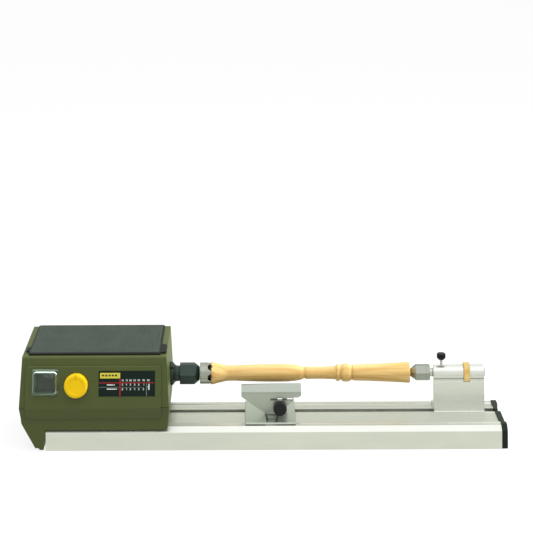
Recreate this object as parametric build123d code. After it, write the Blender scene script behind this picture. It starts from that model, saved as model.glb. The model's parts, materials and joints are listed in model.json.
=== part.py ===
from build123d import *
import math
import os

# Modelmaker's wood lathe, in millimetres. X runs along the bed (headstock at -X, tailstock at
# +X), Y is depth with the operator on the -Y side, Z is up. The origin lies on the bench plane
# under the spindle axis, mid-way along the bed.

# ---------------------------------------------------------------- driving dimensions
AXIS_Z = 63.0            # spindle axis height over the bench
BED_X0, BED_X1 = -245.8, 245.6
BED_Y0, BED_Y1 = -63.0, 32.0
BED_TOP = 21.0           # slide-way surface
RAIL_TOP = 24.5          # top of the front rail
SEAT_GAP = 0.05          # gap under parts that stand on the bed
BED_SEAT = BED_TOP + SEAT_GAP
RAIL_SEAT = RAIL_TOP + SEAT_GAP
SLOT_HALF = 5.0          # half width of the T-slot opening
SLOT_IN = 9.0            # half width of the T-slot cavity
SLOT_Z0, SLOT_Z1 = 11.0, 17.8
RUN = 0.05               # radial running clearance

os.makedirs("parts", exist_ok=True)


# ---------------------------------------------------------------- outlines
def corner_arc(before, corner, after, radius):
    """Start, middle and end of the arc rounding a corner; the middle is None if it is sharp."""
    back, ahead = before - corner, after - corner
    back_dir, ahead_dir = back.normalized(), ahead.normalized()
    angle = math.acos(max(-1.0, min(1.0, back_dir.dot(ahead_dir))))
    if radius <= 0 or angle > math.pi - 0.01:
        return corner, None, corner
    trim = min(radius / math.tan(angle / 2), 0.49 * back.length, 0.49 * ahead.length)
    fitted = trim * math.tan(angle / 2)
    bisector = (back_dir + ahead_dir).normalized()
    centre = corner + bisector * (fitted / math.sin(angle / 2))
    return corner + back_dir * trim, centre - bisector * fitted, corner + ahead_dir * trim


def face_of(points, place):
    """Face inside a closed outline; a point may carry a third number, its corner radius.

    place(u, v) gives the position in space of a point of the outline."""
    flat = [Vector(p[0], p[1]) for p in points]
    radii = [p[2] if len(p) > 2 else 0.0 for p in points]
    count = len(flat)
    arcs = [corner_arc(flat[i - 1], flat[i], flat[(i + 1) % count], radii[i])
            for i in range(count)]
    edges = []
    for i, (start, middle, end) in enumerate(arcs):
        if middle is not None:
            edges.append(Edge.make_three_point_arc(
                *[place(p.X, p.Y) for p in (start, middle, end)]))
        following = arcs[(i + 1) % count][0]
        if (following - end).length > 1e-5:
            edges.append(Edge.make_line(place(end.X, end.Y), place(following.X, following.Y)))
    return Face(Wire(edges))


def hexagon(across_flats, turn=0.0, centre=(0, 0)):
    radius = across_flats / math.sqrt(3)
    angles = [math.radians(60 * i + turn) for i in range(6)]
    return [(centre[0] + radius * math.cos(a), centre[1] + radius * math.sin(a))
            for a in angles]


def spindle_hexagon(across_flats, turn):
    """Hexagon about the spindle axis as (y, z), turned from the Z direction towards Y."""
    return [(v, AXIS_Z + u) for u, v in hexagon(across_flats, turn)]


def knurl(count, radius, depth, centre=(0, 0)):
    points = []
    half = math.pi / count
    for i in range(count):
        angle = 2 * math.pi * i / count
        for r, step in ((radius, -0.35), (radius, 0.35),
                        (radius - depth, 0.9), (radius - depth, 1.1)):
            points.append((centre[0] + r * math.cos(angle + step * half),
                           centre[1] + r * math.sin(angle + step * half)))
    return points


# ---------------------------------------------------------------- solids
def prism_x(points, x0, x1):
    return extrude(face_of(points, lambda y, z: Vector(x0, y, z)), amount=x1 - x0, dir=(1, 0, 0))


def prism_y(points, y0, y1):
    return extrude(face_of(points, lambda x, z: Vector(x, y0, z)), amount=y1 - y0, dir=(0, 1, 0))


def prism_z(points, z0, z1):
    return extrude(face_of(points, lambda x, y: Vector(x, y, z0)), amount=z1 - z0, dir=(0, 0, 1))


def box(x0, x1, y0, y1, z0, z1):
    return Pos((x0 + x1) / 2, (y0 + y1) / 2, (z0 + z1) / 2) * Box(x1 - x0, y1 - y0, z1 - z0)


def box_about(x, half_x, y0, y1, z, half_z):
    return box(x - half_x, x + half_x, y0, y1, z - half_z, z + half_z)


def cyl_x(x0, x1, r, y=0.0, z=AXIS_Z):
    return Pos((x0 + x1) / 2, y, z) * Rot(0, 90, 0) * Cylinder(r, x1 - x0)


def cyl_y(y0, y1, r, x, z):
    return Pos(x, (y0 + y1) / 2, z) * Rot(90, 0, 0) * Cylinder(r, y1 - y0)


def cyl_z(z0, z1, r, x, y):
    return Pos(x, y, (z0 + z1) / 2) * Cylinder(r, z1 - z0)


# Solids of revolution; points are (place along the axis, radius[, corner radius]).
def rev_x(points, y=0.0, z=AXIS_Z):
    face = face_of(points, lambda along, r: Vector(along, y, z + r))
    return revolve(face, Axis((0, y, z), (1, 0, 0)), 360)


def rev_y(points, x, z):
    face = face_of(points, lambda along, r: Vector(x + r, along, z))
    return revolve(face, Axis((x, 0, z), (0, 1, 0)), 360)


def rev_z(points, x, y):
    face = face_of(points, lambda along, r: Vector(x + r, y, along))
    return revolve(face, Axis((x, y, 0), (0, 0, 1)), 360)


def cap_screw_z(x, y, seat, tip, head_r, head_h, shank_r):
    """Hexagon socket screw along Z; its head lies beyond the seat, away from the tip."""
    out = 1 if seat > tip else -1
    top = seat + out * head_h
    screw = cyl_z(*sorted((seat, top)), head_r, x, y) + cyl_z(*sorted((seat, tip)), shank_r, x, y)
    socket = hexagon(2.0, centre=(x, y))
    return screw - prism_z(socket, *sorted((seat + out * head_h * 0.45, top + out)))


def save(name, *shapes):
    solids = [solid for shape in shapes for solid in shape.solids()]
    shape = solids[0] if len(solids) == 1 else Compound(children=solids)
    export_step(shape, f"parts/{name}.step")


# ---------------------------------------------------------------- bed
BENCH_HOLE_XY = [(x, y) for x in (-225.0, 225.0) for y in (-53.5, 22.5)]
BENCH_HOLE_R = 2.75
MOUNT_XY = [(x, y) for x in (-235.0, -150.0) for y in (-30.0, 17.0)]
END_SCREW_Y, END_SCREW_Z = (-54.0, 24.6), 14.5
CHANNEL_HALF = SLOT_IN + 2.5     # outside of the T-slot walls
CHANNEL_Z = SLOT_Z0 - 3          # underside of the T-slot floor
DECK_Z = 17.5                    # underside of the slide-way

# bed cross-section (y, z[, corner radius])
bed_section = [
    (BED_Y0, 0), (BED_Y0, 19.0, 0.8), (-56.9, 23.8, 0.6), (-52.6, 23.8, 0.3),
    (-49.6, RAIL_TOP, 0.3), (-48.4, RAIL_TOP, 0.3), (-47.4, BED_TOP - 0.3, 0.3),
    (-9.6, BED_TOP - 0.3), (-9.1, BED_TOP), (-SLOT_HALF, BED_TOP),
    (-SLOT_HALF, SLOT_Z1), (-SLOT_IN, SLOT_Z1), (-SLOT_IN, SLOT_Z0),
    (SLOT_IN, SLOT_Z0), (SLOT_IN, SLOT_Z1), (SLOT_HALF, SLOT_Z1), (SLOT_HALF, BED_TOP),
    (10.6, BED_TOP), (11.2, BED_TOP - 0.35), (23.4, BED_TOP - 0.9), (24.2, BED_TOP),
    (29.6, BED_TOP), (BED_Y1, BED_TOP - 1.6, 0.8), (BED_Y1, 0),
    (13, 0), (13, 3), (BED_Y1 - 3, 3), (BED_Y1 - 3, DECK_Z), (CHANNEL_HALF, DECK_Z),
    (CHANNEL_HALF, CHANNEL_Z), (3, CHANNEL_Z), (3, 0), (-3, 0), (-3, CHANNEL_Z),
    (-CHANNEL_HALF, CHANNEL_Z), (-CHANNEL_HALF, DECK_Z), (-53.5, DECK_Z),
    (-60, 16.5), (-60, 3), (-44, 3), (-44, 0),
]
bed = prism_x(bed_section, BED_X0, BED_X1)
for y in END_SCREW_Y:
    bed += box(BED_X0, BED_X1, y - 3, y + 3, 11.5, 17.6)
    bed -= cyl_x(BED_X0 - 1, BED_X1 + 1, 1.45, y, END_SCREW_Z)
for x, y in BENCH_HOLE_XY:
    bed -= cyl_z(-1, 4, BENCH_HOLE_R, x, y)
for x, y in MOUNT_XY:
    bed -= cyl_z(16, 26, 2.6, x, y)
save("bed_extrusion", bed)

# end cap on the right end of the bed; outline (y, z, corner radius)
cap_section = [
    (-63.4, 0.2, 0.8), (-63.4, 19.4, 1.2), (-57.0, 25.3, 2.0), (-50.6, 25.3, 1.0),
    (-46.8, 22.0, 0.8), (-6, 22.0, 0.4), (-4, 23.4, 0.8), (4, 23.4, 0.8), (6, 22.2, 0.4),
    (29, 22.2, 0.8), (32.4, 19.8, 1.0), (32.4, 0.2, 0.8),
]
cap = prism_x(cap_section, BED_X1, BED_X1 + 6.2)
cap = chamfer(cap.faces().sort_by(Axis.X)[-1].outer_wire().edges(), 0.7)
cap -= prism_z([(BED_X1 + 6.4, 19.0), (BED_X1 + 3.4, 1.0), (BED_X1 + 3.4, -7.0),
                (BED_X1 + 6.4, -7.5)], -1, 30)
# T-shaped spigot that enters the slot
cap += (box(BED_X1 - 0.4, BED_X1 + 0.5, -4.8, 4.8, SLOT_Z1 - 1.0, BED_TOP - 0.1)
        + box(BED_X1 - 0.4, BED_X1 + 0.5, -8.7, 8.7, SLOT_Z0 + 0.3, SLOT_Z1 - 0.2))
for y in END_SCREW_Y:
    cap -= cyl_x(BED_X1 - 1, BED_X1 + 8, 1.7, y, END_SCREW_Z)
    cap -= rev_x([(BED_X1 + 3.8, 0), (BED_X1 + 3.8, 1.7), (BED_X1 + 6.3, 3.4),
                  (BED_X1 + 6.3, 0)], y, END_SCREW_Z)
save("bed_end_cap", cap)


def end_cap_screw(y):
    """Countersunk cross-slot screw."""
    screw = rev_x([(BED_X1 - 11, 0), (BED_X1 - 11, 1.4), (BED_X1 + 3.9, 1.4),
                   (BED_X1 + 6.0, 3.2), (BED_X1 + 6.0, 0)], y, END_SCREW_Z)
    return screw - (box(BED_X1 + 4.9, BED_X1 + 6.5, y - 2, y + 2, 14.2, 14.8)
                    + box(BED_X1 + 4.9, BED_X1 + 6.5, y - 0.3, y + 0.3, 12.5, 16.5))


save("end_cap_screws", *[end_cap_screw(y) for y in END_SCREW_Y])

# ---------------------------------------------------------------- headstock housing
HOUSE_X0, HOUSE_X1 = -274.3, -112.8
HOUSE_Z0, HOUSE_TOP = 22.0, 100.0
FOLD_Z = 46.6            # height of the fold in the housing's front
WALL = 3.0
END_ROUND = 2.4
SEAM_Z = 47.3            # underside of the upper shell
LOWER_TOP = SEAM_Z - 0.6
FLOOR_TOP = RAIL_TOP + 3.05
PILLAR_XY = [(-262.0, -49.0), (-262.0, 46.0), (-124.0, -47.0)]
BOARD_XY = [(-256.0, -30.0), (-212.0, -30.0), (-256.0, 12.0), (-212.0, 12.0)]

# The front panel follows the folded front; switch and knob stand square to its upper part.
PANEL_Z0, PANEL_Z1 = 34.6, 90.6
PANEL_FOLD_Y, PANEL_TOP_Y = -67.9, -62.0
FRONT_SLOPE = (PANEL_TOP_Y - PANEL_FOLD_Y) / (PANEL_Z1 - FOLD_Z)
LEAN = math.degrees(math.atan(FRONT_SLOPE))


def front_y(z):
    """Outer face of the panel above the fold."""
    return PANEL_FOLD_Y + (z - FOLD_Z) * FRONT_SLOPE


SWITCH_X, SWITCH_Z = -246.1, 74.0
SWITCH_Y = front_y(SWITCH_Z)
KNOB_X, KNOB_Z = -212.5, 71.2
KNOB_Y = front_y(KNOB_Z)
CORD_X, CORD_Z = -215.0, 57.0


def lean_switch(shape):
    return Pos(0, SWITCH_Y, SWITCH_Z) * Rot(-LEAN, 0, 0) * Pos(0, -SWITCH_Y, -SWITCH_Z) * shape


def lean_knob(shape):
    return Pos(0, KNOB_Y, KNOB_Z) * Rot(-LEAN, 0, 0) * Pos(0, -KNOB_Y, -KNOB_Z) * shape


def housing_form(inset):
    """Solid form of the housing with its walls moved in by inset."""
    section = [     # (y, z)
        (-62.4 + inset, HOUSE_Z0), (-62.4 + inset, 35.5, 1.0), (-66.0 + inset, FOLD_Z, 2.0),
        (-58.9 + inset, HOUSE_TOP - inset, 2.6), (56.6 - inset, HOUSE_TOP - inset, 3.0),
        (58.0 - inset, FOLD_Z, 2.0), (56.0 - inset, 34.0, 1.0), (56.0 - inset, HOUSE_Z0),
    ]
    # inset forms run on below the housing, with a sharp lower right corner
    bottom, corner = (HOUSE_Z0, 3.2) if inset == 0 else (20.0, 0)
    silhouette = [  # (x, z)
        (HOUSE_X0 + inset, FOLD_Z, 1.5), (-271.2 + inset, HOUSE_TOP + 1),
        (HOUSE_X1 - 2.9 - inset, HOUSE_TOP + 1), (HOUSE_X1 - inset, FOLD_Z, 1.5),
        (HOUSE_X1 - 1.9 - inset, bottom, corner), (-267.7 + inset, bottom),
        (-271.9 + inset, 28.9, 0.8),
    ]
    return prism_x(section, HOUSE_X0 - 2, HOUSE_X1 + 2) & prism_y(silhouette, -90, 90)


def layer(z0, z1):
    """Slab that takes in the whole housing between two heights."""
    return box(-300, -100, -90, 90, z0, z1)


def is_end_edge(edge):
    """Straight, steep edges in the upper part of both ends."""
    middle = edge.center()
    return (middle.Z > 60 and (middle.X > HOUSE_X1 - 4.0 or middle.X < -270.5)
            and edge.geom_type == GeomType.LINE and abs((edge @ 0).X - (edge @ 1).X) < 4)


outer = housing_form(0)
inner = housing_form(WALL)
try:
    outer = fillet([edge for edge in outer.edges() if is_end_edge(edge)], END_ROUND)
except Exception:
    pass    # guards the end rounding: the ends stay sharp if the kernel can't make it

# upper shell, with pillars and openings for spindle, switch, knob, vents and cord
upper = (outer & layer(SEAM_Z, 120)) - inner
for x, y in PILLAR_XY:
    upper += cyl_z(SEAM_Z, HOUSE_TOP - 2, 3.6, x, y)
    upper -= cyl_z(SEAM_Z - 1, SEAM_Z + 16, 1.35, x, y)
upper -= cyl_x(HOUSE_X1 - 7, HOUSE_X1 + 1, 13.3)
upper -= lean_switch(box_about(SWITCH_X, 11.6, -80, -50, SWITCH_Z, 10.6))
upper -= lean_knob(cyl_y(-80, -50, 5.4, KNOB_X, KNOB_Z))
VENT_X0, VENT_PITCH, VENT_WIDTH = -252, 9.0, 4
for i in range(9):
    x = VENT_X0 + VENT_PITCH * i
    upper -= box(x, x + VENT_WIDTH, 50, 62, 64, 88)
upper -= cyl_y(50, 62, 5.05, CORD_X, CORD_Z)
save("housing_upper_shell", upper)

# lower shell, with a lip that locates the upper shell
lower = (outer & layer(HOUSE_Z0, LOWER_TOP)) - inner
lip_inner = housing_form(WALL + 1.6)
lower += (housing_form(WALL + 0.15) - lip_inner) & layer(SEAM_Z - 3, SEAM_Z + 2.0)
lower += (housing_form(WALL - 0.1) & layer(SEAM_Z - 3, LOWER_TOP)) - lip_inner
# floor resting on the front rail, closed down to the slide-way at the right end
lower += (inner + outer) & layer(RAIL_SEAT, FLOOR_TOP)
lower -= box(-246.1, -100, -60.2, 32.6, 10, RAIL_SEAT)
lower += box(-118, HOUSE_X1 - 2.2, -46.0, 31.8, BED_SEAT, RAIL_TOP + 0.1)
# hollow claw that closes the left end of the bed
claw = prism_y([
    (-272.3, 31.5), (-271.9, 28.9, 0.8), (-257.2, 2.8, 1.2), (-253.6, 2.5, 0.4),
    (-252.0, 0.8, 0.3), (-248.2, 0.8), (-247.7, 9.0), (-246.15, 11.0), (-246.15, 31.5),
], -62.4, 33.0)
claw -= prism_y([(-267.3, 28.8), (-254.8, 6.4), (-249.6, 6.4), (-249.6, 28.8)], -59.4, 30.0)
lower += claw - box(-300, -200, -59.4, 30.0, 28.8, 40)
for x, y in MOUNT_XY:
    lower += cyl_z(BED_SEAT, FLOOR_TOP, 5.5, x, y)
    lower -= cyl_z(15, RAIL_TOP + 2.6, 2.05, x, y)
for x, y in PILLAR_XY:
    lower += cyl_z(RAIL_TOP + 1, LOWER_TOP, 3.6, x, y)
    lower -= cyl_z(10, SEAM_Z + 1, 1.8, x, y) + cyl_z(10, SEAM_Z - 14.0, 3.1, x, y)
for x, y in BOARD_XY:   # board stand-offs
    lower += cyl_z(RAIL_TOP + 2, 35.0, 2.6, x, y)
    lower -= cyl_z(29.0, 36, 1.0, x, y)
save("housing_lower_shell", lower)


def housing_screw(x, y):
    """Cross-slot screw pointing up into a pillar of the upper shell."""
    head = cyl_z(SEAM_Z - 16.6, SEAM_Z - 14.05, 2.9, x, y)
    shank = cyl_z(SEAM_Z - 14.1, SEAM_Z + 9, 1.3, x, y)
    return (head + shank
            - box(x - 2, x + 2, y - 0.4, y + 0.4, SEAM_Z - 17, SEAM_Z - 15.6)
            - box(x - 0.4, x + 0.4, y - 2, y + 2, SEAM_Z - 17, SEAM_Z - 15.6))


save("housing_screws", *[housing_screw(x, y) for x, y in PILLAR_XY])
save("headstock_mount_screws", *[
    cap_screw_z(x, y, seat=17.45, tip=26.9, head_r=3.9, head_h=4.0, shank_r=2.0)
    for x, y in MOUNT_XY])

# ---------------------------------------------------------------- control panel and label
PANEL_X0, PANEL_X1 = -267.5, -121.3
LABEL_X0, LABEL_X1, LABEL_Z0, LABEL_Z1 = -188.4, -127.8, 59.3, 85.6


def label_block(front, back, margin):
    """Plate along the sloping face, between two Y offsets from it."""
    low, high = front_y(LABEL_Z0), front_y(LABEL_Z1)
    z0, z1 = LABEL_Z0 + margin, LABEL_Z1 - margin
    return prism_x([(low + front, z0), (low + back, z0), (high + back, z1), (high + front, z1)],
                   LABEL_X0 + margin, LABEL_X1 - margin)


panel_section = [
    (-62.45, PANEL_Z0), (-64.3, PANEL_Z0, 0.8), (PANEL_FOLD_Y, FOLD_Z, 1.2),
    (PANEL_TOP_Y, PANEL_Z1, 1.2), (-60.2, PANEL_Z1), (-66.06, FOLD_Z + 0.02, 0.5),
    (-62.45, 35.6),
]
panel = prism_x(panel_section, PANEL_X0, PANEL_X1) & prism_y([
    (PANEL_X0, PANEL_Z0, 6.0), (PANEL_X1, PANEL_Z0, 6.0),
    (PANEL_X1, PANEL_Z1, 4.5), (PANEL_X0, PANEL_Z1, 4.5)], -90, 0)
panel -= lean_switch(box_about(SWITCH_X, 11.1, -80, -50, SWITCH_Z, 10.1))
panel -= lean_knob(cyl_y(-80, -50, 4.0, KNOB_X, KNOB_Z))
panel -= label_block(-1, 0.45, 0)
save("front_control_panel", panel)
save("label_plate", label_block(-0.35, 0.42, 0.15))

# ---------------------------------------------------------------- ribbed tool tray mat
MAT_X0, MAT_X1, MAT_Y0, MAT_Y1 = -265.2, -122.0, -54.0, 52.6
MAT_Z0, MAT_Z1 = HOUSE_TOP + 0.02, HOUSE_TOP + 2.0
RIB_PITCH = 3.55
mat = prism_z([(MAT_X0, MAT_Y0, 3.0), (MAT_X1, MAT_Y0, 3.0), (MAT_X1, MAT_Y1, 3.0),
               (MAT_X0, MAT_Y1, 3.0)], MAT_Z0, MAT_Z1)
# right tab, then left tab
mat += prism_z([(MAT_X1 - 2, -49.5), (MAT_X1 + 5.8, -49.0, 1.5), (MAT_X1 + 5.8, -22.0, 2.0),
                (MAT_X1 - 2, -20.0)], MAT_Z0, MAT_Z1)
mat += prism_z([(MAT_X0 + 2, -44.0), (MAT_X0 - 3.6, -43.0, 1.2), (MAT_X0 - 3.6, -31.0, 1.2),
                (MAT_X0 + 2, -29.0)], MAT_Z0, MAT_Z1)
rib_starts = [MAT_X0 + 2.6 + i * RIB_PITCH for i in range(39)]
mat = mat.fuse(*[
    box(x, x + 1.5, MAT_Y0 + 2.4, MAT_Y1 - 2.0, MAT_Z1 - 0.1, HOUSE_TOP + 2.4)
    for x in rib_starts if x + 1.4 < MAT_X1 - 1.5])
save("tool_tray_mat", mat)

# ---------------------------------------------------------------- switch
switch = box_about(SWITCH_X, 13.2, SWITCH_Y - 1.4, SWITCH_Y - 0.05, SWITCH_Z, 12.2)
switch += box_about(SWITCH_X, 10.9, SWITCH_Y - 0.5, -38.0, SWITCH_Z, 9.9)
switch -= box_about(SWITCH_X, 9.2, SWITCH_Y - 3.0, -46.0, SWITCH_Z, 8.9)
for rise in (-6, 0, 6):     # blades at the back
    switch += box_about(SWITCH_X, 3, -38.1, -31.0, SWITCH_Z + rise, 0.4)
save("switch_body", lean_switch(switch))

PIVOT_Y = SWITCH_Y + 8.0
rocker = prism_x([
    (PIVOT_Y - 8.2, SWITCH_Z - 6.6), (PIVOT_Y - 10.2, SWITCH_Z - 6.8, 0.5),
    (PIVOT_Y - 8.6, SWITCH_Z, 6.0), (PIVOT_Y - 8.2, SWITCH_Z + 6.8, 0.5),
    (PIVOT_Y - 1, SWITCH_Z + 4.8), (PIVOT_Y + 1.8, SWITCH_Z), (PIVOT_Y - 1, SWITCH_Z - 4.8),
], SWITCH_X - 8.6, SWITCH_X + 8.6)
rocker -= cyl_x(SWITCH_X - 10, SWITCH_X + 10, 1.05, PIVOT_Y, SWITCH_Z)
save("switch_rocker", lean_switch(rocker))
save("switch_pivot_pin", lean_switch(
    cyl_x(SWITCH_X - 9.15, SWITCH_X + 9.15, 1.0, PIVOT_Y, SWITCH_Z)))

cover = box_about(SWITCH_X, 14.9, SWITCH_Y - 5.4, SWITCH_Y - 0.05, SWITCH_Z, 13.9)
cover = fillet(cover.edges().filter_by(Axis.Y), 3.0)
cover = fillet(cover.faces().sort_by(Axis.Y)[0].outer_wire().edges(), 1.4)
cover -= box_about(SWITCH_X, 13.3, SWITCH_Y - 4.4, SWITCH_Y + 1, SWITCH_Z, 12.3)
save("switch_splash_cover", lean_switch(cover))


# ---------------------------------------------------------------- speed control and board
def knob_cyl(y0, y1, radius):
    """Cylinder on the knob axis, between two Y offsets from the panel face."""
    return cyl_y(KNOB_Y + y0, KNOB_Y + y1, radius, KNOB_X, KNOB_Z)


knob = rev_y([(KNOB_Y - 8.2, 0), (KNOB_Y - 8.2, 10.9, 1.0), (KNOB_Y - 6.8, 12.65, 0.5),
              (KNOB_Y - 0.5, 12.65, 0.4), (KNOB_Y - 0.5, 0)], KNOB_X, KNOB_Z)
for i in range(30):     # grip grooves
    angle = 2 * math.pi * i / 30
    knob -= cyl_y(KNOB_Y - 9, KNOB_Y - 1.6, 0.42,
                  KNOB_X + 12.75 * math.cos(angle), KNOB_Z + 12.75 * math.sin(angle))
knob -= rev_y([(KNOB_Y - 8.6, 0), (KNOB_Y - 8.6, 8.6), (KNOB_Y - 7.7, 8.2),
               (KNOB_Y - 7.7, 0)], KNOB_X, KNOB_Z)
knob -= knob_cyl(-6.2, 1, 3.05)
knob -= box(KNOB_X - 0.45, KNOB_X + 0.45, KNOB_Y - 8.4, KNOB_Y - 7.2, KNOB_Z + 5.0, KNOB_Z + 13)
save("speed_knob", lean_knob(knob))

pot = knob_cyl(-6.0, 9.0, 3.0) + knob_cyl(7.2, 17.0, 8.0)
pot += box(KNOB_X - 5, KNOB_X + 5, KNOB_Y + 10.0, KNOB_Y + 11.2, KNOB_Z - 15, KNOB_Z - 6)
pot += knob_cyl(2.1, 8.0, 5.0)
save("speed_potentiometer", lean_knob(pot))

board = box(-260, -208, -34, 16, 35.05, 36.65)
for x, y in BOARD_XY:
    board -= cyl_z(34, 38, 1.2, x, y)
# components
board += (box(-250, -232, -24, -8, 36.6, 50.0) + cyl_z(36.6, 52, 5.0, -222, -20)
          + cyl_z(36.6, 48, 4.0, -222, -4))
board += box(-250, -226, 2, 5, 36.6, 54.0) + box(-217, -212, -18, -2, 36.6, 44)
save("control_board", board)
save("board_screws", *[cyl_z(36.7, 38.4, 2.0, x, y) + cyl_z(30, 36.8, 0.95, x, y)
                       for x, y in BOARD_XY])

# ---------------------------------------------------------------- motor
MOTOR_Y, MOTOR_Z, MOTOR_R = 34.5, 47.5, 17.0
MOTOR_SHAFT_R = 2.5
MOTOR_SCREW_YZ = [(MOTOR_Y - 10, MOTOR_Z + 9.5), (MOTOR_Y + 10, MOTOR_Z - 9.5)]
BRACKET_X0, BRACKET_Z0 = -185.2, 27.65

motor = cyl_x(-182, -122.5, MOTOR_R, MOTOR_Y, MOTOR_Z)
motor = fillet(motor.edges().filter_by(GeomType.CIRCLE), 1.5)
motor += cyl_x(-184.5, -181.9, 6.5, MOTOR_Y, MOTOR_Z)
motor -= cyl_x(-186, -120, MOTOR_SHAFT_R + RUN, MOTOR_Y, MOTOR_Z)
for y, z in MOTOR_SCREW_YZ:
    motor -= cyl_x(-183, -174, 1.55, y, z)
save("motor_body", motor)
save("motor_shaft", cyl_x(-201.5, -124, MOTOR_SHAFT_R, MOTOR_Y, MOTOR_Z))

bracket = prism_x([
    (16.2, BRACKET_Z0), (52.6, BRACKET_Z0), (52.6, 62.0, 6.0), (44.0, 67.0, 6.0),
    (25.0, 67.0, 6.0), (16.2, 62.0, 6.0)], BRACKET_X0, -182.05)
bracket -= cyl_x(-190, -180, 6.6, MOTOR_Y, MOTOR_Z)
for y in (25.0, 45.0):  # drilled feet
    bracket += box(BRACKET_X0, -165, y - 5, y + 5, BRACKET_Z0, BRACKET_Z0 + 2)
    bracket -= cyl_z(27, 31, 2.1, -172, y)
for y, z in MOTOR_SCREW_YZ:
    bracket -= cyl_x(-190, -180, 1.6, y, z)
save("motor_bracket", bracket)
save("motor_screws", *[
    cyl_x(-188.0, -185.25, 2.7, y, z) + cyl_x(-185.4, -175, 1.5, y, z)
    - prism_x(hexagon(2.5, centre=(y, z)), -189, -186.6) for y, z in MOTOR_SCREW_YZ])

# ---------------------------------------------------------------- pulleys and belt
SPINDLE_R = 6.0
BELT_X0, BELT_X1 = -199.0, -189.0
SPINDLE_PULLEY_R, MOTOR_PULLEY_R = 14.0, 7.0


def pulley(r, bore, y, z):
    """Belt pulley of rim radius r between two flanges."""
    x0, x1 = BELT_X0 - 1.5, BELT_X1 + 1.5
    flange, flange_r = 1.4, r + 2.0
    return rev_x([
        (x0, bore), (x0, flange_r, 0.3), (x0 + flange, flange_r, 0.3), (x0 + flange, r),
        (x1 - flange, r), (x1 - flange, flange_r, 0.3), (x1, flange_r, 0.3), (x1, bore)], y, z)


spindle_pulley = pulley(SPINDLE_PULLEY_R, SPINDLE_R + 0.01, 0, AXIS_Z)
for i in range(5):
    angle = 2 * math.pi * i / 5
    spindle_pulley -= cyl_x(BELT_X0 - 3, BELT_X1 + 3, 2.2,
                            10.0 * math.cos(angle), AXIS_Z + 10.0 * math.sin(angle))
save("spindle_pulley", spindle_pulley)
save("motor_pulley", pulley(MOTOR_PULLEY_R, MOTOR_SHAFT_R + 0.01, MOTOR_Y, MOTOR_Z))


def belt_loop(gap):
    """Solid filling an open belt's path at a distance gap outside both pulley rims."""
    spindle_r, motor_r = SPINDLE_PULLEY_R + gap, MOTOR_PULLEY_R + gap
    dy, dz = MOTOR_Y, MOTOR_Z - AXIS_Z
    heading = math.atan2(dz, dy)
    wrap = math.acos((spindle_r - motor_r) / math.hypot(dy, dz))

    def on_spindle(angle):
        return Vector(BELT_X0 + 0.1, spindle_r * math.cos(angle),
                      AXIS_Z + spindle_r * math.sin(angle))

    def on_motor(angle):
        return Vector(BELT_X0 + 0.1, MOTOR_Y + motor_r * math.cos(angle),
                      MOTOR_Z + motor_r * math.sin(angle))

    first, last = heading + wrap, heading - wrap
    loop = Face(Wire([
        Edge.make_three_point_arc(on_spindle(first), on_spindle(heading + math.pi),
                                  on_spindle(last)),
        Edge.make_line(on_spindle(last), on_motor(last)),
        Edge.make_three_point_arc(on_motor(last), on_motor(heading), on_motor(first)),
        Edge.make_line(on_motor(first), on_spindle(first))]))
    return extrude(loop, amount=BELT_X1 - BELT_X0 - 0.2, dir=(1, 0, 0))


save("drive_belt", belt_loop(1.6) - belt_loop(0.05))

# ---------------------------------------------------------------- bearing block and bearings
# the block stands on the floor between the motor and the front wall
BLOCK_X0, BLOCK_X1 = -172.0, -119.0
BLOCK_SCREW_XY = [(x, y) for x in (BLOCK_X0 + 18, BLOCK_X1 - 18) for y in (-10.0, 10.0)]
block = box(BLOCK_X0, BLOCK_X1, -14.8, 14.8, RAIL_TOP + 3.1, AXIS_Z + 14.5)
block = fillet([e for e in block.edges().filter_by(Axis.X) if e.center().Z > 60], 9.0)
block -= cyl_x(BLOCK_X0 - 1, BLOCK_X1 + 1, 9.0)
for x0, x1 in ((BLOCK_X0 - 1, BLOCK_X0 + 6.0), (BLOCK_X1 - 6.0, BLOCK_X1 + 1)):
    block -= cyl_x(x0, x1, 12.0)
block -= (box(BLOCK_X0 + 10, BLOCK_X1 - 10, -15, -5.0, 36.0, 50.0)
          + box(BLOCK_X0 + 10, BLOCK_X1 - 10, 5.0, 15, 36.0, 50.0))
for x, y in BLOCK_SCREW_XY:
    block -= cyl_z(27, 37, 2.1, x, y)
save("bearing_block", block)
save("bearing_block_screws", *[
    cap_screw_z(x, y, seat=36.02, tip=27.7, head_r=3.4, head_h=3.4, shank_r=1.95)
    for x, y in BLOCK_SCREW_XY])


def bearing(x0, x1, bore, rim):
    """Plain ring with a shallow groove in each face."""
    groove_in, groove_out = bore + (rim - bore) * 0.36, bore + (rim - bore) * 0.64
    return rev_x([
        (x0, bore), (x0, groove_in), (x0 + 0.5, groove_in), (x0 + 0.5, groove_out),
        (x0, groove_out), (x0, rim), (x1, rim), (x1, groove_out), (x1 - 0.5, groove_out),
        (x1 - 0.5, groove_in), (x1, groove_in), (x1, bore)])


save("front_bearing", bearing(BLOCK_X1 - 5.98, BLOCK_X1 - 0.02, SPINDLE_R + RUN, 11.99))
save("rear_bearing", bearing(BLOCK_X0 + 0.02, BLOCK_X0 + 5.98, SPINDLE_R + RUN, 11.99))

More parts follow.
